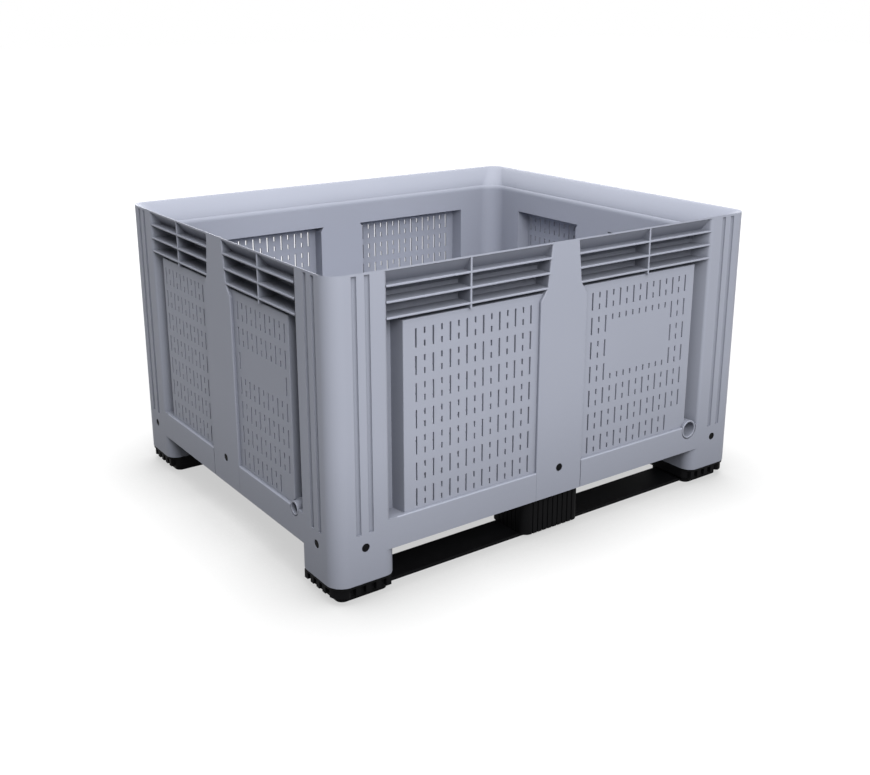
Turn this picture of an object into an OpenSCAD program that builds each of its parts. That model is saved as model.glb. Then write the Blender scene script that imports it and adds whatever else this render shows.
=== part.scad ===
// Stackable orchard bin: an open box with slotted vent walls on two ground runners.
// Sizes are in millimetres. X runs along the long faces, Y along the short faces, Z is up.
// The origin is on the ground under the middle of the bin.

/* [Overall] */
// Length of the long faces
bin_w = 1200; // [1000:10:1400]
// Length of the short faces
bin_d = 1000; // [900:10:1200]
// Height of the rim above the ground
bin_h = 700; // [600:5:900]
// Height of the underside of the walls, which is the room for forks
base_z = 100; // [92:1:140]

/* [Walls] */
// Depth of a wall from its outer plane to its inner plane
wall_t = 48; // [44:1:60]
// Thickness of the moulded skins
skin = 5; // [4:0.5:6]
// Height of the plain band under the vent panels
band_h = 69; // [60:1:100]
// Radius of that band's upper front edge
ledge_r = 3; // [1:0.5:4]
// Step back of the vent panels from the outer plane
panel_inset = 7; // [5:0.5:12]

/* [Rim] */
// Height of the ribbed zone under the rim
rib_zone_h = 112; // [106:1:120]
// Width of the flat top edge of the rim
lip_t = 5; // [4:0.5:8]
// Height of the outer face of that edge
lip_h = 4; // [4:0.5:8]
// Height of the sloped inner face of the rim
flare_h = 50; // [40:1:60]
// Width of the shelf at the foot of the slope
shelf_w = 4; // [2:0.5:8]
// Radius of the inner corners at the top edge
flare_r = 33; // [20:1:40]
// Drop from the rim to the middle of the first rib
rib_first = 35; // [30:1:38]
// Spacing of the ribs
rib_pitch = 33; // [28:0.5:35]
// Thickness of the ribs and of the upright webs
rib_t = 5; // [4:0.5:7]
// Radius of the front edges of the ribs and webs
rib_r = 1.5; // [0.5:0.25:1.75]

/* [Pillars] */
// Width of the middle pillars
pillar_w = 137; // [120:1:160]
// Radius of a pillar's two front edges
pillar_r = 3; // [1:0.5:4]
// Width of a pillar's neck at the lowest rib
neck_w = 100; // [80:1:110]
// Width of the neck at the rim
neck_top_w = 78; // [60:1:90]
// Height of the sloped shoulders between the neck and the pillar
shoulder_h = 28; // [24:1:40]
// Height of the middle fixing hole above the underside of the walls
mid_hole_up = 67; // [50:1:90]

/* [Corner posts] */
// Width of a post's flat face from the outer corner
post_w = 132; // [120:1:150]
// Run of the slanted side of a post
post_run = 20; // [12:1:30]
// Radius of the edge between a post's flat face and its slanted side
post_r = 10; // [4:0.5:14]
// Radius of the outer corners
corner_r = 38; // [25:1:45]
// Radius of the inner corners
inner_r = 50; // [30:1:60]
// Distance of the first half-round groove from the outer corner
groove_u = 52; // [46:1:60]
// Spacing of the two grooves on each face
groove_pitch = 30; // [20:1:36]
// Width of a groove
groove_w = 12; // [8:0.5:14]
// Height of the grooves' lower ends above the underside of the walls
groove_up = 52; // [45:1:80]
// Distance of the fixing hole from the outer corner
pin_u = 74; // [66:1:84]
// Height of the fixing hole above the underside of the walls
pin_up = 21; // [18:1:26]

/* [Vent panels] */
// Width of the recess between a post and the panel's side wall
recess_w = 16; // [10:1:24]
// Run of the slanted side wall of a panel
side_run = 6; // [3:1:10]
// Radius of a panel's upper and outer front edges
panel_r = 2.5; // [1:0.5:3.5]
// Width of a vent slot
slot_w = 4.5; // [3:0.5:6]
// Length of a long slot
slot_l = 41; // [36:1:44]
// Length of a short slot
short_l = 13.5; // [10:0.5:16]
// Spacing of the slot columns
slot_pitch = 21.65; // [16:0.05:28]
// Spacing of the slot rows
row_pitch = 58.3; // [50:0.1:70]
// Distance of the first column from the pillar
slot_side = 22.7; // [16:0.1:30]
// Least distance of the last column from the panel's outer edge
slot_edge = 12; // [10:0.5:20]
// Distance of the lowest slots from the panel's lower edge
slot_foot = 6.5; // [4:0.5:12]
// Least distance of the highest slots from the panel's upper edge
slot_head = 15; // [10:0.5:20]

/* [Drains] */
// Bore of the drain tubes of the long faces
drain_bore = 38; // [30:1:40]
// Wall of those tubes
drain_wall = 4.5; // [4:0.5:7]
// Distance of those drains from the edge of the post's flat face
drain_u = 31; // [28:1:36]
// Drop of those drains' axes below the top of the band
drain_drop = 9; // [0:1:12]
// Bore of the drain tubes of the short faces
end_bore = 24; // [20:1:28]
// Wall of those tubes
end_wall = 4; // [3:0.5:5]
// Distance of those drains from the edge of the post's flat face
end_u = 35; // [33:0.5:36]
// Drop of those drains' axes below the top of the band
end_drop = 3; // [0:1:12]
// Gap round a drain tube in front of the inner skin
drain_gap = 2; // [1:0.5:3]
// Least distance of the lowest slots from a drain's axis
drain_clear = 66; // [50:1:90]

/* [Floor] */
// Height of the floor's top above the underside of the walls
floor_up = 25; // [20:1:40]
// Thickness of the floor plate
floor_t = 6; // [4:0.5:8]
// Largest spacing of the ribs under the floor
floor_rib_pitch = 104; // [80:1:140]
// Width of a drain slot in the floor
floor_slot_w = 8; // [6:0.5:12]
// Length of a drain slot in the floor
floor_slot_l = 64; // [40:1:68]
// Distance of the two slots of a floor cell
floor_slot_gap = 40; // [30:1:44]

/* [Legs] */
// Height of the legs' lower edge above the ground
leg_z = 41; // [36:1:50]
// Radius of the three inner corners of a leg
leg_r = 30; // [20:1:40]

/* [Runners] */
// Thickness of the ground plank
plank_t = 8; // [6:0.5:12]
// Width of the ground plank
plank_w = 86; // [60:1:100]
// Side of a foot's square sole
sole_w = 122; // [100:1:126]
// Distance of the soles from the outer planes
sole_inset = 20; // [14:1:26]
// Height of a sole
sole_h = 15; // [10:1:20]
// Corner radius of a sole
sole_r = 16; // [8:1:20]
// Height of the flange under a leg
flange_h = 6; // [4:0.5:10]
// Step back of the flange from the outer planes
flange_inset = 1; // [0:0.5:4]
// Step back of the tooth fronts from the outer planes
tooth_inset = 4; // [3:0.5:10]
// Depth of the teeth
tooth_d = 10; // [6:0.5:12]
// Width of a tooth
tooth_w = 12.5; // [8:0.5:16]
// Spacing of the teeth
tooth_pitch = 25; // [18:0.5:30]
// Width of the middle block
block_w = 170; // [150:1:200]
// Depth of the middle block
block_d = 126; // [110:1:132]
// Corner radius of the middle block
block_r = 20; // [10:1:30]
// Spacing of the block's flutes
flute_pitch = 15; // [12:0.5:20]
// Width and depth of a flute
flute_w = 3; // [2:0.5:4]
// Wall of the hollow foot and of the hollow block
foot_wall = 15; // [12:0.5:18]
// Width of the tongues that the pins hold
tongue_w = 40; // [30:1:50]

/* [Fixing pins] */
// Diameter of the fixing holes
hole_d = 19; // [14:0.5:22]
// Depth of a pin's head behind the outer plane
pin_recess = 1; // [0.5:0.5:4]

/* [Hidden] */
$fn = 64;
// Clearance between a runner's plugs, tongues or pins and what holds them
fit_gap = 0.3;
// Overrun of every cut
over = 1;
// Thickness of the slabs that shape the flare and the pillars
slab_t = 0.01;
rib_count = 3;
body_color = "#8f939d";
black_color = "#1b1b1d";
FACES = ["front", "right", "rear", "left"];
CORNERS = ["front_left", "front_right", "rear_right", "rear_left"];
FACE_PARTS = ["rib_band", "pillar", "left_lower_band", "right_lower_band",
              "left_vent_panel", "right_vent_panel", "drain"];
CORNER_PARTS = ["post", "leg"];
OTHER_PARTS = ["floor_deck", "front_runner", "rear_runner", "corner_pins", "middle_pins"];

// Depth of the pockets and of the hollow columns
back = wall_t - skin;
// Depth of a vent panel's inner face
panel_back = panel_inset + skin;
// Thickness of a post's outer walls, which carry the grooves
post_shell = skin + groove_w / 2;
// Distance from the outer corner to the end of a post, which is also a leg's width
post_end = post_w + post_run;
// Distances from the outer corner to the foot and the top of a panel's side wall
recess_end = post_end + recess_w;
panel_end = recess_end + side_run;
// Height of the ledge on top of the band
ledge_z = base_z + band_h;
// Height of a panel's upper edge
panel_top = bin_h - rib_zone_h;
// Height of the underside of the window head above a panel
head_z = panel_top - skin;
// Height of the lowest rib, where the neck meets the shoulders
neck_z = bin_h - rib_first - (rib_count - 1) * rib_pitch;
// Height of the shoulders' foot
shoulder_z = neck_z - shoulder_h;
// Height of the shelf at the foot of the flare
shelf_z = bin_h - flare_h;
// Depth of the shelf's outer edge
shelf_y = wall_t - shelf_w;
// Fall of the flare for each unit of depth
flare_fall = flare_h / (shelf_y - lip_t);
// Upright thickness of the sloped skin
flare_skin = skin * sqrt(1 + flare_fall * flare_fall);
// Height and place of the fixing holes
pin_z = base_z + pin_up;
mid_pin_z = base_z + mid_hole_up;
// Height of the floor's top and of its underside
floor_z = base_z + floor_up;
floor_low = floor_z - floor_t;
// Distance of the runners' middle lines from the outer planes
runner_y = sole_inset + sole_w / 2;
// Height of the flange's underside
flange_z = leg_z - flange_h;
// Top of a foot's plug inside the leg, under the leg's closed top
plug_top = base_z - skin - fit_gap;
// Depth of a plug's outer wall
plug_inset = skin + fit_gap;
// Depth of a corner tongue's two faces
tongue_y = post_shell + fit_gap;
tongue_back = plug_inset + foot_wall;
// Depth of a middle block's two faces
block_y = runner_y - block_d / 2;
block_back = block_y + block_d;

// Half length of a face and distance of its outer plane from the middle of the bin
function face_half(i) = (i % 2 == 0 ? bin_w : bin_d) / 2;
function face_out(i) = (i % 2 == 0 ? bin_d : bin_w) / 2;
// Bore and outer diameter of a face's drain, its height and its distance from the outer corner
function drain_in(i) = i % 2 == 0 ? drain_bore : end_bore;
function drain_od(i) = drain_in(i) + 2 * (i % 2 == 0 ? drain_wall : end_wall);
function drain_z(i) = ledge_z - (i % 2 == 0 ? drain_drop : end_drop);
function drain_at(i) = post_w + (i % 2 == 0 ? drain_u : end_u);
// Height of the flare at a depth
function flare_z(y) = bin_h - flare_fall * (y - lip_t);
// Depth of the pockets' back at a height
function pocket_back(z) = min(back, max(0, lip_t + (bin_h - flare_skin - z) / flare_fall));
// Distance of a post's slanted side from the outer corner at a depth
function post_side(y) = post_w + post_run * min(y, back) / back;
// Half width of the pillar and its neck at a height
function pillar_half(z) =
    z >= neck_z ? lookup(z, [[neck_z, neck_w / 2], [bin_h, neck_top_w / 2]])
                : lookup(z, [[shoulder_z, pillar_w / 2], [neck_z, neck_w / 2]]);
// Number of slot columns and rows on a panel
function slot_columns(i) =
    2 * floor((panel_w(i) - slot_side - slot_edge) / (2 * slot_pitch)) + 1;
function panel_w(i) = face_half(i) - panel_end - pillar_w / 2;
function slot_rows() =
    floor((panel_top - ledge_z - slot_foot - slot_head - slot_l) / row_pitch) + 1;
function column_x(col) = pillar_w / 2 + slot_side + col * slot_pitch;
// Row of the blank field, counted from the top, and columns that it leaves on each side
blank_row = 2;
function blank_edge(i) = i % 2 == 0 ? 3 : 1;
// Rows that the blank field half covers on each side of its middle row
function blank_half_rows(i) = i % 2 == 0 ? 1 : 0;

// Place children on a face: x to the right seen from outside, y inward, z up
module on_face(i) rotate(90 * i) translate([0, -face_out(i), 0]) children();

// Place children at a corner: x and y run along the two faces from the outer corner
module on_corner(c)
    rotate(90 * c) translate([-face_half(c), -face_out(c), 0]) children();

// Children and their mirror image in the corner's diagonal
module both_arms() {
    children();
    mirror([1, -1, 0]) children();
}

// A profile of depth and height, run along a wall
module along_wall(x0, x1)
    translate([x0, 0, 0]) rotate([90, 0, 90]) linear_extrude(x1 - x0) children();

// A front view outline, run inward from one depth to another
module through_wall(y0, y1)
    translate([0, y1, 0]) rotate([90, 0, 0]) linear_extrude(y1 - y0) children();

// A level outline between two heights
module slab(z0, z1) translate([0, 0, z0]) linear_extrude(z1 - z0) children();

// What rounds a corner at the origin, between the x axis and a side at an angle to it
module corner_waste(r, angle = 90) difference() {
    tangent = r / tan(angle / 2);
    side = [cos(angle), sin(angle)];
    outward = [-sin(angle), cos(angle)];
    polygon([
        -over * [cos(angle / 2), sin(angle / 2)] / sin(angle / 2), [tangent, -over], [tangent, r],
        tangent * side, tangent * side + over * outward
    ]);
    translate([tangent, r]) circle(r);
}

// A square from the origin with its first corner rounded by r0 and the others by r1
module rounded_square(w, r0, r1) difference() {
    square(w);
    corner_waste(r0);
    translate([w, 0]) rotate(90) corner_waste(r1);
    translate([w, w]) rotate(180) corner_waste(r1);
    translate([0, w]) rotate(270) corner_waste(r1);
}

// A rectangle about the origin with rounded corners
module rounded_rect(w, d, r) difference() {
    square([w, d], center = true);
    for (k = [0:3])
        rotate(90 * k) translate([-(k % 2 == 0 ? w : d), -(k % 2 == 0 ? d : w)] / 2) corner_waste(r);
}

// Space for a face's drain tube: a gap round it as far as the inner skin, and its seat in that skin
module drain_space(i) translate([0, -over, drain_z(i)]) rotate([-90, 0, 0]) {
    cylinder(d = drain_od(i), h = wall_t + 2 * over);
    cylinder(d = drain_od(i) + 2 * drain_gap, h = back + over);
}

// Whole section of the wall above the window head
module band_section() polygon([
    [0, head_z], [0, bin_h], [lip_t, bin_h], [shelf_y, shelf_z], [wall_t, shelf_z], [wall_t, head_z]
]);

// Section of the inner skin and the rim
module rim_section() polygon([
    [0, bin_h], [lip_t, bin_h], [shelf_y, shelf_z], [wall_t, shelf_z], [wall_t, head_z], [back, head_z],
    [back, flare_z(back) - flare_skin], [pocket_back(bin_h - lip_h), bin_h - lip_h], [0, bin_h - lip_h]
]);

// Section of one rib, with its root inside the skin
module rib_section(z0, z1) difference() {
    polygon([[0, z0], [pocket_back(z0) + skin / 2, z0], [pocket_back(z1) + skin / 2, z1], [0, z1]]);
    translate([0, z0]) corner_waste(rib_r);
    translate([0, z1]) mirror([0, 1]) corner_waste(rib_r);
}

// Level outline of a bar across the wall, with its two front edges rounded
module bar_plan(w, r) difference() {
    translate([-w / 2, 0]) square([w, wall_t]);
    for (side = [0, 1]) mirror([side, 0]) translate([-w / 2, 0]) corner_waste(r);
}

// The pillar and its neck between two heights
module pillar_length(z0, z1) hull() for (end = [[z0, z0], [z1, z1 - slab_t]])
    slab(end[1], end[1] + slab_t) bar_plan(2 * pillar_half(end[0]), pillar_r, $fn = 32);

// Front view of the neck, stepped in by a wall
module neck_outline(t) polygon([
    for (side = [1, -1], z = side > 0 ? [head_z, neck_z, bin_h] : [bin_h, neck_z, head_z])
        [side * (pillar_half(z) - t), z]
]);

// Level outline of the band between the two posts
module band_plan(half) polygon([
    for (side = [1, -1], y = side > 0 ? [0, back, wall_t] : [wall_t, back, 0])
        [side * (half - post_side(y)), y]
]);

// Level outline of the window head on the right half of a face
module head_plan(half) polygon([
    [0, panel_back], [half - panel_end, panel_back], [half - recess_end, back],
    [half - post_end, back], [half - post_end, wall_t], [0, wall_t]
]);

// Ribbed band under the rim of one face, with the neck of the pillar
module rib_band(i) color(body_color) on_face(i) {
    half = face_half(i);
    web_x = (neck_w / 2 + half - post_w) / 2;
    intersection() {
        slab(panel_top, bin_h) band_plan(half);
        union() {
            along_wall(-half, half) rim_section();
            for (k = [0:rib_count - 1]) {
                z = bin_h - rib_first - k * rib_pitch;
                along_wall(-half, half) rib_section(z - rib_t / 2, z + rib_t / 2);
            }
            intersection() {
                along_wall(-half, half) band_section();
                for (side = [-1, 1])
                    translate([side * web_x, 0, 0]) slab(panel_top, bin_h) bar_plan(rib_t, rib_r);
            }
        }
    }
    intersection() {
        along_wall(-pillar_w, pillar_w) band_section();
        difference() {
            union() {
                pillar_length(head_z, neck_z);
                pillar_length(neck_z, bin_h);
            }
            through_wall(skin, back) neck_outline(skin);
        }
    }
    difference() {
        for (side = [0, 1]) mirror([side, 0, 0]) slab(head_z, panel_top) head_plan(half);
        through_wall(-over, wall_t + over) neck_outline(0);
    }
}

// Front view of a pillar's hollow, lengthened at both ends
module pillar_hollow() polygon([
    for (side = [1, -1], k = side > 0 ? [0, 1, 2] : [2, 1, 0])
        let (z = [base_z - over, shoulder_z, head_z + over][k])
            [side * (pillar_half(z) - skin), z]
]);

// Hollow middle pillar of one face, open at its foot and into the neck
module pillar(i) color(body_color) on_face(i) difference() {
    union() {
        pillar_length(base_z, shoulder_z);
        pillar_length(shoulder_z, head_z);
    }
    through_wall(skin, back) pillar_hollow();
    translate([0, -over, mid_pin_z]) rotate([-90, 0, 0]) cylinder(d = hole_d, h = skin + 2 * over);
}

// Section of the plain band under a vent panel
module lower_band_section() difference() {
    translate([0, base_z]) square([wall_t, band_h]);
    translate([skin, base_z - over]) square([back - skin, band_h - skin + over]);
    translate([0, ledge_z]) mirror([0, 1]) corner_waste(ledge_r);
}

// Plain band on the left or right half of one face
module lower_band(i, side) color(body_color) on_face(i) difference() {
    mirror([side < 0 ? 1 : 0, 0, 0])
        along_wall(pillar_w / 2, face_half(i) - post_end) lower_band_section();
    if (side > 0) translate([face_half(i) - drain_at(i), 0, 0]) drain_space(i);
}

// One slot of a place of the pattern: 1 for the upper short one, -1 for the lower and 0 for the long one
module slot(part)
    translate([0, part * (slot_l - short_l) / 2])
        square([slot_w, part == 0 ? slot_l : short_l], center = true);

// Parts of the slot at a place, as the blank field and the drain leave them
function slot_parts(i, side, col, row) =
    let (edge = blank_edge(i), from_blank = row - blank_row,
         in_blank = side > 0 && col >= edge && col < slot_columns(i) - edge,
         by_drain = side > 0 && row == slot_rows() - 1
             && face_half(i) - drain_at(i) - column_x(col) < drain_clear)
    by_drain || in_blank && from_blank == 0 ? []
    : in_blank && abs(from_blank) <= blank_half_rows(i) ? [-from_blank]
    : col % 2 == 0 ? [0] : [1, -1];

// Front view of the space between the pillar, the ledge and the outer plane of the post
module panel_outline(half) polygon([
    [pillar_w / 2, ledge_z], [half, ledge_z], [half, panel_top + over],
    [pillar_half(panel_top + over), panel_top + over], [pillar_w / 2, shoulder_z]
]);

// Level outline of a panel, whose outer edge carries on the slant of its side wall
module panel_plan(half) {
    slant = side_run / (back - panel_back);
    edge = half - panel_end - skin * slant;
    difference() {
        polygon([[0, panel_inset], [edge, panel_inset], [half - panel_end, panel_back], [0, panel_back]]);
        translate([edge, panel_inset]) mirror([1, 0]) corner_waste(panel_r, 90 + atan(slant));
    }
}

// Section of a panel's rounded upper edge and all below it
module panel_section() difference() {
    translate([panel_inset - over, ledge_z - over]) square([skin + 2 * over, panel_top - ledge_z + over]);
    translate([panel_inset, panel_top]) mirror([0, 1]) corner_waste(panel_r);
}

// Slotted panel on the left or right half of one face
module vent_panel(i, side) color(body_color) on_face(i) difference() {
    half = face_half(i);
    rows = slot_rows();
    mirror([side < 0 ? 1 : 0, 0, 0]) intersection() {
        through_wall(panel_inset - over, panel_back + over) difference() {
            panel_outline(half);
            for (col = [0:slot_columns(i) - 1], row = [0:rows - 1], part = slot_parts(i, side, col, row))
                translate([column_x(col), ledge_z + slot_foot + slot_l / 2 + (rows - 1 - row) * row_pitch])
                    slot(part);
        }
        slab(ledge_z - over, panel_top + over) panel_plan(half);
        along_wall(0, half) panel_section();
    }
    if (side > 0) translate([half - drain_at(i), 0, 0]) drain_space(i);
}

// Drain tube through the wall at the right-hand end of one face
module drain(i) color(body_color) on_face(i)
    translate([face_half(i) - drain_at(i), 0, drain_z(i)]) rotate([-90, 0, 0]) difference() {
        cylinder(d = drain_od(i), h = wall_t);
        translate([0, 0, -over]) cylinder(d = drain_in(i), h = wall_t + 2 * over);
    }

// Level outline of one arm of a post, with a slanted or a square end
module post_arm(slanted) polygon([
    [0, 0], [slanted ? post_side(0) : post_end, 0], [post_end, back], [post_end, wall_t], [0, wall_t]
]);

// Level outline of a post with its outer radius and inner fillet
module post_plan(slanted) difference() {
    union() {
        both_arms() post_arm(slanted);
        translate([wall_t, wall_t]) difference() {
            square(inner_r);
            translate([inner_r, inner_r]) circle(inner_r);
        }
    }
    corner_waste(corner_r);
}

// What rounds the edge between a post's flat face and its slanted side
module post_edge_waste()
    translate([post_w, 0]) mirror([1, 0]) corner_waste(post_r, 180 - atan2(back, post_run));

// Level outline of the recess floor and the panel's side wall
module side_wall_plan() polygon([
    [post_end, back], [recess_end, back], [panel_end, panel_back], [panel_end + skin, panel_back],
    [recess_end + skin, wall_t], [post_end, wall_t]
]);

// Hollow of one arm of a post, which follows the slanted side and the flare
module post_hollow() intersection() {
    slab(base_z - over, bin_h) difference() {
        polygon([
            [post_shell, post_shell], [post_side(post_shell) - skin, post_shell],
            [post_end - skin, back], [post_shell, back]
        ]);
        translate([post_shell, post_shell]) corner_waste(corner_r - post_shell);
    }
    along_wall(0, post_end) polygon([
        [post_shell, base_z - over], [back, base_z - over],
        [back, flare_z(back) - flare_skin], [post_shell, flare_z(post_shell) - flare_skin]
    ]);
}

// Corner of the flared opening, between the shelf and the top edge
module flare() hull() {
    for (at = [[shelf_y, inner_r, shelf_z, slab_t], [lip_t, flare_r, bin_h, over]]) {
        far = post_end + wall_t;
        translate([0, 0, at[2]]) {
            translate([at[0] + at[1], at[0] + at[1], 0]) cylinder(r = at[1], h = at[3], $fn = 48);
            translate([at[0], far, 0]) cube([far - at[0], over, at[3]]);
            translate([far, at[0], 0]) cube([over, far - at[0], at[3]]);
        }
    }
}

// Half-round groove down one face of a post, which leaves half of the sloped skin behind its upper end
module post_groove(u) {
    groove_z = base_z + groove_up;
    translate([u + groove_w / 2, 0, groove_z])
        cylinder(d = groove_w, h = flare_z(groove_w / 2) - flare_skin / 2 - groove_z);
}

// Hollow corner post with the side walls of the two panels next to it
module post(c) color(body_color) on_corner(c) difference() {
    union() {
        slab(base_z, ledge_z) post_plan(false);
        slab(ledge_z, bin_h - lip_h) difference() {
            post_plan(true);
            both_arms() post_edge_waste();
        }
        slab(bin_h - lip_h, bin_h) post_plan(true);
        both_arms() slab(ledge_z, head_z) side_wall_plan();
    }
    both_arms() {
        post_hollow();
        for (k = [0, 1]) post_groove(groove_u + k * groove_pitch);
        translate([pin_u, -over, pin_z]) rotate([-90, 0, 0]) cylinder(d = hole_d, h = post_shell + 2 * over);
    }
    flare();
    mirror([1, -1, 0]) translate([drain_at(c + 3), 0, 0]) drain_space(c + 3);
}

// Room that a corner tongue takes, widened by a gap
module tongue_room(gap, z0, z1)
    translate([pin_u - tongue_w / 2 - gap, tongue_y - gap, z0])
        cube([tongue_w + 2 * gap, tongue_back - tongue_y + 2 * gap, z1 - z0]);

// Square leg under a post, open at its foot
module leg(c) color(body_color) on_corner(c) difference() {
    slab(leg_z, base_z) rounded_square(post_end, corner_r, leg_r);
    translate([skin, skin, 0]) slab(leg_z - over, base_z - skin)
        rounded_square(post_end - 2 * skin, corner_r - skin, leg_r - skin);
    both_arms() tongue_room(fit_gap, leg_z, base_z + over);
}

// Slotted floor with a rib grid underneath
module floor_deck() color(body_color) {
    room_w = bin_w - 2 * wall_t;
    room_d = bin_d - 2 * wall_t;
    cells_x = ceil(room_w / floor_rib_pitch);
    cells_y = ceil(room_d / floor_rib_pitch);
    cell_w = (room_w - skin) / cells_x;
    cell_d = (room_d - skin) / cells_y;
    slab(floor_low, floor_z) difference() {
        rounded_rect(room_w, room_d, inner_r);
        for (x = [0:cells_x - 1], y = [0:cells_y - 1], side = [-1, 1])
            translate([
                (x + 1 / 2) * cell_w - room_w / 2 + skin / 2, (y + 1 / 2) * cell_d - room_d / 2 + skin / 2
            ]) translate([side * floor_slot_gap / 2, 0]) square([floor_slot_w, floor_slot_l], center = true);
    }
    slab(base_z, floor_low) intersection() {
        rounded_rect(room_w, room_d, inner_r);
        union() {
            difference() {
                square([room_w, room_d], center = true);
                rounded_rect(room_w - 2 * skin, room_d - 2 * skin, inner_r - skin);
            }
            for (x = [1:cells_x - 1])
                translate([x * cell_w - room_w / 2, -room_d / 2]) square([skin, room_d]);
            for (y = [1:cells_y - 1])
                translate([-room_w / 2, y * cell_d - room_d / 2]) square([room_w, skin]);
        }
    }
}

// Foot of a runner at one corner: sole, toothed skirt, flange, plug and tongues
module foot() {
    core = tooth_inset + tooth_d;
    core_w = post_end - flange_inset - core;
    teeth_from = corner_r + tooth_pitch - tooth_w;
    translate([sole_inset, sole_inset, 0]) slab(0, sole_h) rounded_square(sole_w, sole_r, sole_r);
    translate([core, core, 0]) slab(sole_h, flange_z) rounded_square(core_w, sole_r, sole_r);
    translate([tooth_inset, tooth_inset, 0]) slab(sole_h, flange_z)
        rounded_square(corner_r, corner_r - tooth_inset, sole_r - tooth_inset);
    both_arms() for (u = [teeth_from:tooth_pitch:post_end - flange_inset - tooth_w])
        translate([u, tooth_inset, sole_h]) cube([tooth_w, tooth_d + skin, flange_z - sole_h]);
    translate([flange_inset, flange_inset, 0]) slab(flange_z, leg_z)
        rounded_square(post_end - 2 * flange_inset, corner_r - flange_inset, leg_r - flange_inset);
    translate([plug_inset, plug_inset, 0]) slab(leg_z, plug_top) difference() {
        rounded_square(post_end - 2 * plug_inset, corner_r - plug_inset, leg_r - plug_inset);
        translate([foot_wall, foot_wall])
            rounded_square(post_end - 2 * (plug_inset + foot_wall), sole_r, sole_r);
    }
    both_arms() difference() {
        tongue_room(0, plug_top - skin, pin_z + tongue_w / 2);
        translate([pin_u, 0, pin_z]) rotate([-90, 0, 0]) cylinder(d = hole_d, h = tongue_back + over);
    }
}

// Fluted block on the middle of a plank, hollow from above, with the tongue in the pillar
module middle_block() {
    flutes_x = floor((block_w / 2 - block_r) / flute_pitch);
    flutes_y = floor((block_d / 2 - block_r) / flute_pitch);
    translate([0, runner_y, 0]) {
        slab(plank_t, base_z) difference() {
            rounded_rect(block_w, block_d, block_r);
            for (side = [-1, 1]) {
                for (k = [-flutes_x:flutes_x]) translate([k * flute_pitch, side * block_d / 2])
                    square([flute_w, 2 * flute_w], center = true);
                for (k = [-flutes_y:flutes_y]) translate([side * block_w / 2, k * flute_pitch])
                    square([2 * flute_w, flute_w], center = true);
            }
            square([block_w - 2 * foot_wall, block_d - 2 * foot_wall], center = true);
        }
        slab(plank_t, plank_t + skin) square([block_w - foot_wall, block_d - foot_wall], center = true);
    }
    difference() {
        translate([-tongue_w / 2, block_y + flute_w, base_z - skin])
            cube([tongue_w, foot_wall - flute_w, mid_pin_z + tongue_w / 2 - base_z + skin]);
        translate([0, 0, mid_pin_z]) rotate([-90, 0, 0]) cylinder(d = hole_d, h = block_back);
    }
}

// Runner under the front or rear face
module runner(i) color(black_color) {
    for (c = [i, i + 1]) on_corner(c) foot();
    on_face(i) {
        translate([0, runner_y, 0]) slab(0, plank_t)
            square([2 * (face_half(i) - sole_inset - sole_w / 2), plank_w], center = true);
        middle_block();
    }
}

// Pin from its recessed head to the back of the tongue that it holds
module pin(depth) translate([0, pin_recess, 0]) rotate([-90, 0, 0])
    cylinder(d = hole_d - 2 * fit_gap, h = depth - pin_recess);

// Pins that hold the feet in the posts
module corner_pins() color(black_color)
    for (c = [0:3]) on_corner(c) both_arms() translate([pin_u, 0, pin_z]) pin(tongue_back);

// Pins in the pillars: those of the long faces hold the middle blocks, the others end at the inner skin
module middle_pins() color(black_color)
    for (i = [0:3]) on_face(i) translate([0, 0, mid_pin_z]) pin(i % 2 == 0 ? block_y + foot_wall : back);

for (i = [0:3]) {
    f = FACES[i];
    rib_band(i);
    pillar(i);
    lower_band(i, -1);
    lower_band(i, 1);
    vent_panel(i, -1);
    vent_panel(i, 1);
    drain(i);
    post(i);
    leg(i);
}
floor_deck();
runner(0);  // front_runner
runner(2);  // rear_runner
corner_pins();
middle_pins();
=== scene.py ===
# %% [markdown]
# A stackable orchard bin is one large grey polyethylene moulding on two black runners.
# The construction is already solid and exact in the frame, so this lesson is about looks:
# closing the moulding's sections into one shell, softening its edges as a mould does,
# and giving the two plastics the surface that they have.

# %% Load the frame
import math

import bmesh
import bpy
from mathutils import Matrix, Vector


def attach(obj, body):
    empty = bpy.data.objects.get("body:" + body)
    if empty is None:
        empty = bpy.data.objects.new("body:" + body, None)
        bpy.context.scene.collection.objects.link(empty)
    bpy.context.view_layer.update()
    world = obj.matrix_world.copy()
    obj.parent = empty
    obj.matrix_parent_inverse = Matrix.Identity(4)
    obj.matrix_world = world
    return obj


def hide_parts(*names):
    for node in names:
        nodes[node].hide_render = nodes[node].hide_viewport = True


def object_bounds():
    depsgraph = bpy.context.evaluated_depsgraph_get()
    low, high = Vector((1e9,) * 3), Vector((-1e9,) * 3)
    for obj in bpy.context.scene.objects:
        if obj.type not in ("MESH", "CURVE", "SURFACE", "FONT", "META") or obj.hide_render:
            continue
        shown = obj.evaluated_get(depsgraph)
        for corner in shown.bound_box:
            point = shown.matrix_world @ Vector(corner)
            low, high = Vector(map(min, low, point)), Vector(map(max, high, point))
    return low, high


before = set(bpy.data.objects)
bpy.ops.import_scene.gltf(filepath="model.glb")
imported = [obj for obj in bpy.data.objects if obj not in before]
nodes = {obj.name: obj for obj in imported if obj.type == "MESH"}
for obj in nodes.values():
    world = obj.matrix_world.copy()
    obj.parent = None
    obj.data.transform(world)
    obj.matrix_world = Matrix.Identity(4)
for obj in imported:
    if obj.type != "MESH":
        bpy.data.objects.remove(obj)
cad_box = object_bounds()
MM = 0.001
print("nodes in the frame:", len(nodes))
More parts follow.
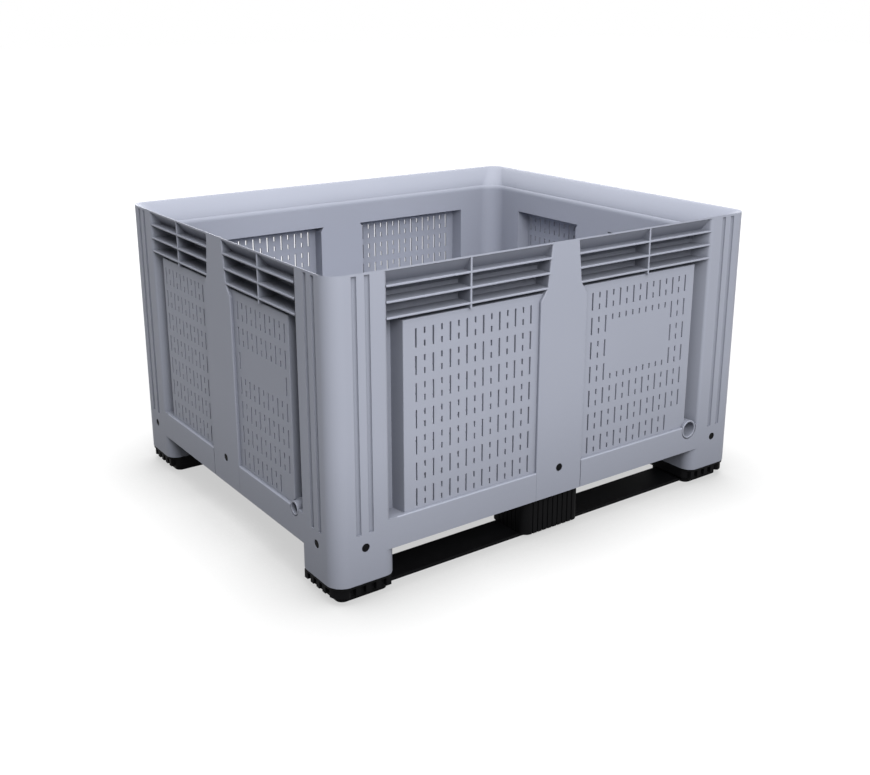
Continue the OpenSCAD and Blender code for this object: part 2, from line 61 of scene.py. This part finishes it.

# %% [markdown]
# The box of the whole frame tells how large the bin is and where the lamps have to look.
# It is kept now, before anything is added.

# %% Measure the frame
low, high = (Vector(corner) for corner in cad_box)
CENTRE = (low + high) / 2
print("bin:", " x ".join(str(round(side, 3)) for side in high - low), "m")

# %% [markdown]
# One function turns a colour as a painter writes it into the linear values that a shader works with.
# Another adds a node with its settings and its links, so that a material reads as a short list.

# %% Colour and node helpers


def linear(hex_colour):
    """An sRGB hex colour as linear red, green, blue and alpha."""
    channels = [int(hex_colour[k:k + 2], 16) / 255 for k in (1, 3, 5)]
    curve = [c / 12.92 if c <= 0.04045 else ((c + 0.055) / 1.055) ** 2.4 for c in channels]
    return (*curve, 1.0)


def add_node(tree, kind, settings=None, **inputs):
    """Add a node, set its properties, and set or link its named inputs."""
    node = tree.nodes.new(kind)
    for name, value in (settings or {}).items():
        setattr(node, name, value)
    for name, value in inputs.items():
        socket = node.inputs[name.replace("_", " ")]
        if isinstance(value, bpy.types.NodeSocket):
            tree.links.new(value, socket)
        else:
            socket.default_value = value
    return node


def new_material(name):
    """An empty node material and its tree."""
    material = bpy.data.materials.new(name)
    material.use_nodes = True
    material.node_tree.nodes.clear()
    return material, material.node_tree


print("middle grey in linear light:", round(linear("#808080")[0], 3))

# %% [markdown]
# The body is injection-moulded high-density polyethylene, coloured grey-blue in the mass.
# The mould is spark-eroded, which leaves a fine satin grain: highlights are wide and soft.
# The grain is really about half a millimetre, and is drawn at three so that it shows.
# Where the melt cools unevenly the tone drifts a little over some hundreds of millimetres.
# Grooves, slots and pockets, and the faces near the ground, are painted darker as shade: Ambient
# Occlusion measures how shut in a point is, and takes the tone towards a painted shade colour there.

# %% Moulded polyethylene
BODY_GREY = "#a2a6b4"
BODY_PALE = "#a7abb9"
# painted shade: the darker tone that shut-in places are taken towards
BODY_PAINTED_SHADE = "#686b75"
BODY_ROUGH = (0.46, 0.58)
BODY_SPECULAR = 0.3
PLASTIC_IOR = 1.54
DRIFT_MM = 260.0
DRIFT_DETAIL = 2.0
GRAIN_MM = 3.0
GRAIN_DETAIL = 3.0
GRAIN_STRENGTH = 0.06
GRAIN_DEPTH_MM = 0.3
SHUT_IN_MM = 350.0
SHUT_IN_SAMPLES = 8


def moulded_polyethylene():
    material, tree = new_material("moulded_polyethylene")
    place = add_node(tree, "ShaderNodeTexCoord").outputs["Object"]
    drift = add_node(tree, "ShaderNodeTexNoise", Vector=place, Scale=1 / (DRIFT_MM * MM),
                     Detail=DRIFT_DETAIL)
    tone = add_node(tree, "ShaderNodeMix", {"data_type": "RGBA"}, Factor=drift.outputs["Fac"],
                    A=linear(BODY_GREY), B=linear(BODY_PALE))
    # painted shade: Ambient Occlusion darkens the tone in grooves, slots and pockets
    openness = add_node(tree, "ShaderNodeAmbientOcclusion", {"samples": SHUT_IN_SAMPLES},
                        Distance=SHUT_IN_MM * MM)
    colour = add_node(tree, "ShaderNodeMix", {"data_type": "RGBA"}, Factor=openness.outputs["AO"],
                      A=linear(BODY_PAINTED_SHADE), B=tone.outputs["Result"])
    grain = add_node(tree, "ShaderNodeTexNoise", Vector=place, Scale=1 / (GRAIN_MM * MM),
                     Detail=GRAIN_DETAIL)
    satin = add_node(tree, "ShaderNodeMapRange", Value=grain.outputs["Fac"],
                     To_Min=BODY_ROUGH[0], To_Max=BODY_ROUGH[1])
    relief = add_node(tree, "ShaderNodeBump", Strength=GRAIN_STRENGTH, Distance=GRAIN_DEPTH_MM * MM,
                      Height=grain.outputs["Fac"])
    shader = add_node(tree, "ShaderNodeBsdfPrincipled", Base_Color=colour.outputs["Result"],
                      Roughness=satin.outputs["Result"], Normal=relief.outputs["Normal"],
                      IOR=PLASTIC_IOR, Specular_IOR_Level=BODY_SPECULAR)
    add_node(tree, "ShaderNodeOutputMaterial", Surface=shader.outputs["BSDF"])
    return material


BODY_PLASTIC = moulded_polyethylene()
print("material:", BODY_PLASTIC.name)

# %% [markdown]
# The runners are moulded from black recycled polyethylene.
# It is coarser than the body, with cloudy flow marks, and it wears to a greyer black
# where it rubs the ground.
# The same few nodes make it: one noise for the flow marks and a finer one for the grit.

# %% Recycled black polyethylene
RUNNER_BLACK = "#080809"
RUNNER_WORN = "#0f0f11"
RUNNER_ROUGH = (0.5, 0.7)
RUNNER_SPECULAR = 0.05
FLOW_MM = 60.0
FLOW_DETAIL = 4.0
GRIT_MM = 4.0
GRIT_DETAIL = 4.0
GRIT_STRENGTH = 0.15
GRIT_DEPTH_MM = 0.5


def recycled_polyethylene():
    material, tree = new_material("recycled_black_polyethylene")
    place = add_node(tree, "ShaderNodeTexCoord").outputs["Object"]
    flow = add_node(tree, "ShaderNodeTexNoise", Vector=place, Scale=1 / (FLOW_MM * MM),
                    Detail=FLOW_DETAIL)
    tone = add_node(tree, "ShaderNodeMix", {"data_type": "RGBA"}, Factor=flow.outputs["Fac"],
                    A=linear(RUNNER_BLACK), B=linear(RUNNER_WORN))
    grit = add_node(tree, "ShaderNodeTexNoise", Vector=place, Scale=1 / (GRIT_MM * MM),
                    Detail=GRIT_DETAIL)
    rough = add_node(tree, "ShaderNodeMapRange", Value=grit.outputs["Fac"],
                     To_Min=RUNNER_ROUGH[0], To_Max=RUNNER_ROUGH[1])
    relief = add_node(tree, "ShaderNodeBump", Strength=GRIT_STRENGTH, Distance=GRIT_DEPTH_MM * MM,
                      Height=grit.outputs["Fac"])
    shader = add_node(tree, "ShaderNodeBsdfPrincipled", Base_Color=tone.outputs["Result"],
                      Roughness=rough.outputs["Result"], Normal=relief.outputs["Normal"],
                      IOR=PLASTIC_IOR, Specular_IOR_Level=RUNNER_SPECULAR)
    add_node(tree, "ShaderNodeOutputMaterial", Surface=shader.outputs["BSDF"])
    return material


RUNNER_PLASTIC = recycled_polyethylene()
print("material:", RUNNER_PLASTIC.name)

# %% [markdown]
# The frame holds the moulding as sections that meet face to face.
# Copies of them are merged and joined by a union, which removes the faces between sections,
# so that the body is the one moulding that it really is. The manifold solver is made for this:
# the sections are closed solids, and it takes them all at once.
# Points are merged only where they are the same, because a wider merge would open thin slivers.

# %% Join sections into one mesh
MERGE = 0.001 * MM


def merged_copy(name):
    """A new object with a merged copy of a node's mesh."""
    mesh = bpy.data.meshes.new(name + "_copy")
    bm = bmesh.new()
    bm.from_mesh(nodes[name].data)
    bmesh.ops.remove_doubles(bm, verts=bm.verts, dist=MERGE)
    bm.to_mesh(mesh)
    bm.free()
    return bpy.data.objects.new(name + "_copy", mesh)


def joined(names):
    """A bmesh with the union of the named nodes."""
    copies = [merged_copy(name) for name in names]
    others = bpy.data.collections.new("sections")
    bpy.context.scene.collection.children.link(others)
    bpy.context.scene.collection.objects.link(copies[0])
    for copy in copies[1:]:
        others.objects.link(copy)
    if len(copies) > 1:
        union = copies[0].modifiers.new("union", "BOOLEAN")
        union.operation = "UNION"
        union.operand_type = "COLLECTION"
        union.collection = others
        union.solver = "MANIFOLD"
    ready = copies[0].evaluated_get(bpy.context.evaluated_depsgraph_get())
    bm = bmesh.new()
    bm.from_mesh(ready.to_mesh())
    ready.to_mesh_clear()
    for copy in copies:
        bpy.data.objects.remove(copy)
    bpy.data.collections.remove(others)
    bmesh.ops.remove_doubles(bm, verts=bm.verts, dist=MERGE)
    return bm


print("points merge within", round(MERGE / MM, 4), "mm")

# %% [markdown]
# A finished piece is smooth over its radii and sharp at its real edges.
# Smooth shading alone would bend the light on the large flat faces beside a radius,
# so a Weighted Normal modifier lets the large faces decide how the surface is lit.

# %% Finish a piece
SMOOTH = math.radians(32)


def finish_piece(name, bm, material, replaced):
    """Turn a bmesh into a piece with its plastic that stands for its nodes."""
    for face in bm.faces:
        face.smooth = True
    for edge in bm.edges:
        edge.smooth = edge.calc_face_angle(math.pi) < SMOOTH
    mesh = bpy.data.meshes.new(name)
    bm.to_mesh(mesh)
    bm.free()
    mesh.materials.append(material)
    piece = bpy.data.objects.new(name, mesh)
    bpy.context.scene.collection.objects.link(piece)
    even = piece.modifiers.new("even_flats", "WEIGHTED_NORMAL")
    even.keep_sharp = True
    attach(piece, "root")
    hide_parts(*replaced)
    print(name, "faces:", len(mesh.polygons))


print("edges stay sharp from", round(math.degrees(SMOOTH)), "degrees")

# %% [markdown]
# Inside the bin a narrow shelf runs round the foot of the flared rim.
# The mould rounds its edge into a nose, which catches a thin line of light. Above it the slope
# bulges a little: it is flatter at the rim's round crest and steeper at its foot,
# so that it darkens towards the shelf.
# A bevel would need clean quads here, and the union leaves long triangles. So the wall and the slope
# are cut level at a few heights instead, and the points of each cut are drawn onto the curve.
# First the faces and edges of the rim have to be found, by their height and by the way they look.

# %% Measure the rim
SHELF_DROP = 50 * MM
SHELF_Z = high.z - SHELF_DROP
NEAR = 0.05 * MM
UPRIGHT = 0.1
SLOPE = (0.4, 0.8)


def looks_in(face):
    return face.normal.xy.dot((CENTRE - face.calc_center_median()).xy) > 0


def is_wall(face):
    return abs(face.normal.z) < UPRIGHT and looks_in(face)


def is_top(face):
    return face.normal.z > 1 - UPRIGHT


def is_slope(face):
    return SLOPE[0] < face.normal.z < SLOPE[1] and looks_in(face)


def edge_points(bm, z, kind):
    """The points at a height where a level face meets one of a kind, with the way into the bin."""
    found = {}
    for vert in bm.verts:
        beside = [face for face in vert.link_faces if kind(face)]
        if abs(vert.co.z - z) < NEAR and beside and any(is_top(face) for face in vert.link_faces):
            way = sum((face.normal for face in beside), Vector())
            found[vert] = Vector((way.x, way.y, 0)).normalized()
    return found


def rim_slope(bm):
    """The faces of the slope between the shelf and the crest."""
    return [face for face in bm.faces
            if is_slope(face) and all(vert.co.z > SHELF_Z - NEAR for vert in face.verts)]


def level_cut(bm, faces, z):
    """Cut these faces at a height."""
    edges = dict.fromkeys(edge for face in faces for edge in face.edges)
    verts = dict.fromkeys(vert for face in faces for vert in face.verts)
    bmesh.ops.bisect_plane(bm, geom=[*faces, *edges, *verts], dist=NEAR,
                           plane_co=(0, 0, z), plane_no=(0, 0, 1))


print("shelf at", round(SHELF_Z, 3), "m")

# %% [markdown]
# The nose is a quarter ellipse. The wall below the shelf's edge is cut where the rings
# of the ellipse come, and each ring's points keep their turn on it,
# from upright at the foot to nearly level at the edge.

# %% Cut the nose
NOSE_OUT = 7 * MM
NOSE_DROP = 12 * MM
NOSE_FOOT = SHELF_Z - NOSE_DROP
NOSE_RINGS = [math.radians(turn) for turn in (0, 22.5, 45)]
NOSE_TOP = math.radians(67.5)


def nose_points(bm):
    """Cut the rings of the nose, and give their points with their turn and the way into the bin."""
    edge = edge_points(bm, SHELF_Z, is_wall)
    points = [(vert, NOSE_TOP, inward) for vert, inward in edge.items()]
    for turn in NOSE_RINGS:
        ring_z = NOSE_FOOT + NOSE_DROP * math.sin(turn)
        below = dict.fromkeys(face for vert in edge for face in vert.link_faces if is_wall(face))
        level_cut(bm, below, ring_z)
        around = (face for vert in edge for face in vert.link_faces)
        for vert in dict.fromkeys(vert for face in around for vert in face.verts):
            if abs(vert.co.z - ring_z) < NEAR:
                inward = sum((face.normal for face in vert.link_faces if is_wall(face)), Vector())
                points.append((vert, turn, inward.normalized()))
    return points


print("nose:", round(NOSE_OUT / MM), "mm deep and", round(NOSE_DROP / MM), "mm high")

# %% [markdown]
# The slope is cut at even steps. Half a sine wave makes its bulge, which is nothing at both ends,
# and a steep power draws the foot back, so that the shelf is wide enough for its nose.

# %% Cut the slope
SLOPE_CUTS = 8
SLOPE_BULGE = 3 * MM
FOOT_BACK = 3 * MM
FOOT_POWER = 6


def slope_points(bm):
    """Cut the slope, and give its points with the way into the bin."""
    for step in range(1, SLOPE_CUTS):
        level_cut(bm, rim_slope(bm), SHELF_Z + SHELF_DROP * step / SLOPE_CUTS)
    ways = {}
    for face in rim_slope(bm):
        for vert in face.verts:
            ways[vert] = ways.get(vert, Vector()) + Vector((face.normal.x, face.normal.y, 0))
    return {vert: way.normalized() for vert, way in ways.items()}


def slope_shift(z):
    """How far into the bin the slope moves at a height."""
    share = (z - SHELF_Z) / SHELF_DROP
    return SLOPE_BULGE * math.sin(math.pi * share) - FOOT_BACK * (1 - share) ** FOOT_POWER


print("slope cut every", round(SHELF_DROP / SLOPE_CUTS / MM, 2), "mm")

# %% [markdown]
# All cuts come before the first move: a moved point would lie beside the height
# that a later cut looks for. The crest only sinks a little on its inner side,
# which rounds it into the slope.

# %% Round the rim
CREST_SINK = 1.8 * MM


def rounded_rim(bm):
    """The same bmesh with a round nose on the shelf, a bulging slope and a round crest."""
    crest = edge_points(bm, high.z, is_slope)
    nose = nose_points(bm)
    slope = slope_points(bm)
    for vert, turn, inward in nose:
        vert.co -= NOSE_OUT * (1 - math.cos(turn)) * inward
        vert.co.z = NOSE_FOOT + NOSE_DROP * math.sin(turn)
    for vert, inward in slope.items():
        vert.co += slope_shift(vert.co.z) * inward
    for vert in crest:
        vert.co.z -= CREST_SINK
    print("points on the nose, the slope and the crest:", len(nose), len(slope), len(crest))
    return bm


# %% [markdown]
# The shell is everything that the mould fills as one wall: posts, pillars, bands and legs.
# On the real bin there is no seam between them, so they become one piece.

# %% Shell of the body
SHELL_PARTS = ("rib_band", "pillar", "lower_band", "post", "leg")
shell_nodes = sorted(name for name in nodes if name.endswith(SHELL_PARTS))
shell = rounded_rim(joined(shell_nodes))
finish_piece("bin_shell", shell, BODY_PLASTIC, shell_nodes)

# %% [markdown]
# The vent panels are thin plates with rows of long and short slots, through which the fruit breathes.
# They stay pieces of their own: their slots are exact in the frame already,
# and a union of thousands of slot faces would only make the shell heavy.

# %% Vent panels
for name in sorted(name for name in nodes if name.endswith("vent_panel")):
    finish_piece(name + "_plate", joined([name]), BODY_PLASTIC, [name])

# %% [markdown]
# A drain tube shows as a ring in the wall because its edges are rounded.
# The round edge leaves a thin groove beside the wall, and the groove holds a line of shadow.
# A tube is a clean shape, so a bevel of its sharp edges does this.

# %% Drains
DRAIN_EDGE = 1.2 * MM
DRAIN_SEGMENTS = 3


def softened(bm, width):
    """The same bmesh with its sharp edges rounded."""
    sharp = [edge for edge in bm.edges if edge.calc_face_angle(0) > SMOOTH]
    bmesh.ops.bevel(bm, geom=sharp, offset=width, affect="EDGES", segments=DRAIN_SEGMENTS,
                    profile=0.5, material=-1)
    return bm


for name in sorted(name for name in nodes if name.endswith("drain")):
    tube = softened(joined([name]), DRAIN_EDGE)
    finish_piece(name + "_tube", tube, BODY_PLASTIC, [name])

# %% [markdown]
# The floor deck carries the fruit. Its slots let water out, and a grid of ribs below keeps it flat.
# It is the same plastic from the same mould, so it only needs its finish.

# %% Floor deck
finish_piece("slotted_floor", joined(["floor_deck"]), BODY_PLASTIC, ["floor_deck"])

# %% [markdown]
# The runners and the pins are the black pieces: feet, planks and blocks that rub on the ground
# and on other bins, and the pins that hold them in the body.
# Their shapes come as they are, and get the recycled plastic.

# %% Runners and pins
for name in ("front_runner", "rear_runner", "corner_pins", "middle_pins"):
    finish_piece(name + "_black", joined([name]), RUNNER_PLASTIC, [name])

# %% [markdown]
# The stage is a white floor that fades into a white backdrop, so that no horizon shows.
# A large flat grid is enough for it, and it isn't part of the bin.

# %% Floor plate
FLOOR_SIZE = 60.0
floor_mesh = bpy.data.meshes.new("studio_floor")
bm = bmesh.new()
bmesh.ops.create_grid(bm, x_segments=1, y_segments=1, size=FLOOR_SIZE / 2)
bm.to_mesh(floor_mesh)
bm.free()
floor = bpy.data.objects.new("studio_floor", floor_mesh)
bpy.context.scene.collection.objects.link(floor)
print("floor:", FLOOR_SIZE, "m wide")

# %% [markdown]
# The viewer and reflections see a white floor, and it still takes the bin's shadow: its own glow
# is dimmed by Ambient Occlusion, which is the soft dark rim that a thing has where it stands,
# and the lamps' cast shadows are laid over that. To all other light the floor is dark,
# so that it doesn't brighten the underside.

# %% Shader helpers for the stage


def seen_rays(tree):
    """1 for the rays that show a surface, and 0 for those that only carry its light."""
    path = add_node(tree, "ShaderNodeLightPath")
    total = path.outputs["Is Camera Ray"]
    for name in ("Is Glossy Ray", "Is Transmission Ray"):
        both = add_node(tree, "ShaderNodeMath", {"operation": "ADD", "use_clamp": True})
        tree.links.new(total, both.inputs[0])
        tree.links.new(path.outputs[name], both.inputs[1])
        total = both.outputs["Value"]
    return total


def mixed(tree, factor, first, second):
    """The first shader where the factor is 0, the second where it is 1."""
    mix = add_node(tree, "ShaderNodeMixShader", Fac=factor)
    tree.links.new(first, mix.inputs[1])
    tree.links.new(second, mix.inputs[2])
    return mix.outputs["Shader"]


# %% White floor
FLOOR_LIT = "#595959"
FLOOR_UNSEEN = "#404040"
GLOW_NEAR = 0.9
GLOW_FROM = 1.1
GLOW_TO = 3.0
CONTACT_REACH = 0.22
CONTACT_SAMPLES = 16
CONTACT_SHUT = 0.5
CONTACT_GLOW = 0.62


def white_floor():
    material, tree = new_material("white_studio_floor")
    place = add_node(tree, "ShaderNodeTexCoord").outputs["Object"]
    away = add_node(tree, "ShaderNodeVectorMath", {"operation": "LENGTH"}, Vector=place)
    far = add_node(tree, "ShaderNodeMapRange", Value=away.outputs["Value"], From_Min=GLOW_FROM,
                   From_Max=GLOW_TO, To_Min=GLOW_NEAR, To_Max=1.0)
    open_share = add_node(tree, "ShaderNodeAmbientOcclusion", {"samples": CONTACT_SAMPLES},
                          Distance=CONTACT_REACH)
    contact = add_node(tree, "ShaderNodeMapRange", Value=open_share.outputs["AO"],
                       From_Min=CONTACT_SHUT, To_Min=CONTACT_GLOW, To_Max=1.0)
    strength = add_node(tree, "ShaderNodeMath", {"operation": "MULTIPLY"})
    tree.links.new(far.outputs["Result"], strength.inputs[0])
    tree.links.new(contact.outputs["Result"], strength.inputs[1])
    glow = add_node(tree, "ShaderNodeEmission", Strength=strength.outputs["Value"])
    lit = add_node(tree, "ShaderNodeBsdfDiffuse", Color=linear(FLOOR_LIT))
    shown = add_node(tree, "ShaderNodeAddShader")
    tree.links.new(glow.outputs["Emission"], shown.inputs[0])
    tree.links.new(lit.outputs["BSDF"], shown.inputs[1])
    unseen = add_node(tree, "ShaderNodeBsdfDiffuse", Color=linear(FLOOR_UNSEEN))
    surface = mixed(tree, seen_rays(tree), unseen.outputs["BSDF"], shown.outputs["Shader"])
    add_node(tree, "ShaderNodeOutputMaterial", Surface=surface)
    return material


floor_mesh.materials.append(white_floor())
print("floor material:", floor_mesh.materials[0].name)

# %% [markdown]
# The room gives a little light from above: it is brightest overhead and dark at the horizon,
# so that the sloped rim is lit and the walls are left to the lamps.
# A power of the height makes that fall, and the viewer sees the plain white backdrop instead.

# %% World
SKY_LIGHT = 3.3
SKY_LOW = 0.08
SKY_POWER = 4.0
WHITE = linear("#ffffff")
world = bpy.data.worlds.new("studio")
bpy.context.scene.world = world
world.use_nodes = True
tree = world.node_tree
tree.nodes.clear()
direction = add_node(tree, "ShaderNodeTexCoord").outputs["Generated"]
height = add_node(tree, "ShaderNodeSeparateXYZ", Vector=direction).outputs["Z"]
overhead = add_node(tree, "ShaderNodeMath", {"operation": "POWER", "use_clamp": True})
tree.links.new(height, overhead.inputs[0])
overhead.inputs[1].default_value = SKY_POWER
sky = add_node(tree, "ShaderNodeMapRange", Value=overhead.outputs["Value"],
               To_Min=SKY_LOW, To_Max=SKY_LIGHT)
around = add_node(tree, "ShaderNodeBackground", Color=WHITE, Strength=sky.outputs["Result"])
behind = add_node(tree, "ShaderNodeBackground", Color=WHITE, Strength=1.0)
backdrop = mixed(tree, seen_rays(tree), around.outputs["Background"], behind.outputs["Background"])
add_node(tree, "ShaderNodeOutputWorld", Surface=backdrop)
print("sky light from", SKY_LOW, "at the horizon to", SKY_LIGHT, "overhead")

# %% [markdown]
# Two soft lamps do the rest. The key lamp hangs above the front and to the left of its middle,
# so the front is the light face, the left face is half as light,
# and what turns to the right, in the recesses beside the posts and panels, is left in shadow.
# A weaker lamp behind the bin keeps its back and its right face readable from there.

# %% Lamps
KEY_FROM = Vector((-1.1, -3.6, 2.4))
KEY_WATTS = 153
BACK_FROM = Vector((2.0, 3.3, 1.4))
BACK_WATTS = 75
LAMP_SIZE = 2.2


def hang_lamp(name, place, watts):
    """A square soft lamp at a place seen from the bin's middle, turned to the bin."""
    lamp = bpy.data.lights.new(name, "AREA")
    lamp.size = LAMP_SIZE
    lamp.energy = watts
    holder = bpy.data.objects.new(name, lamp)
    bpy.context.scene.collection.objects.link(holder)
    holder.location = CENTRE + place
    holder.rotation_euler = (-place).to_track_quat("-Z", "Y").to_euler()
    holder.visible_camera = False
    print(name, "at", tuple(round(c, 2) for c in holder.location))


hang_lamp("key_lamp", KEY_FROM, KEY_WATTS)
hang_lamp("back_lamp", BACK_FROM, BACK_WATTS)

# %% [markdown]
# The camera stands where the picture was taken from. Its place, turn and focal length come from a fit
# to the bin's corners, in pixels of the picture. The optical axis lies above the picture's middle,
# and the shift says by how much.

# %% Camera
PHOTO_W = 870
FOCAL_PX = 1102.7
SENSOR_MM = 36.0
EYE = Vector((-1.5977, -2.2451, 1.1892))
YAW = math.radians(35.57)
PITCH = math.radians(16.69)
AXIS_PX = (435.8, 335.2)
MIDDLE_PX = (435.0, 387.5)
camera_data = bpy.data.cameras.new("camera")
camera_data.sensor_width = SENSOR_MM
camera_data.lens = FOCAL_PX / PHOTO_W * SENSOR_MM
camera_data.shift_x = (MIDDLE_PX[0] - AXIS_PX[0]) / PHOTO_W
camera_data.shift_y = (AXIS_PX[1] - MIDDLE_PX[1]) / PHOTO_W
camera = bpy.data.objects.new("camera", camera_data)
bpy.context.scene.collection.objects.link(camera)
camera.location = EYE
camera.rotation_euler = (math.pi / 2 - PITCH, 0, -YAW)
bpy.context.scene.camera = camera
bpy.context.scene.view_settings.view_transform = "Standard"
print("lens:", round(camera_data.lens, 1), "mm")
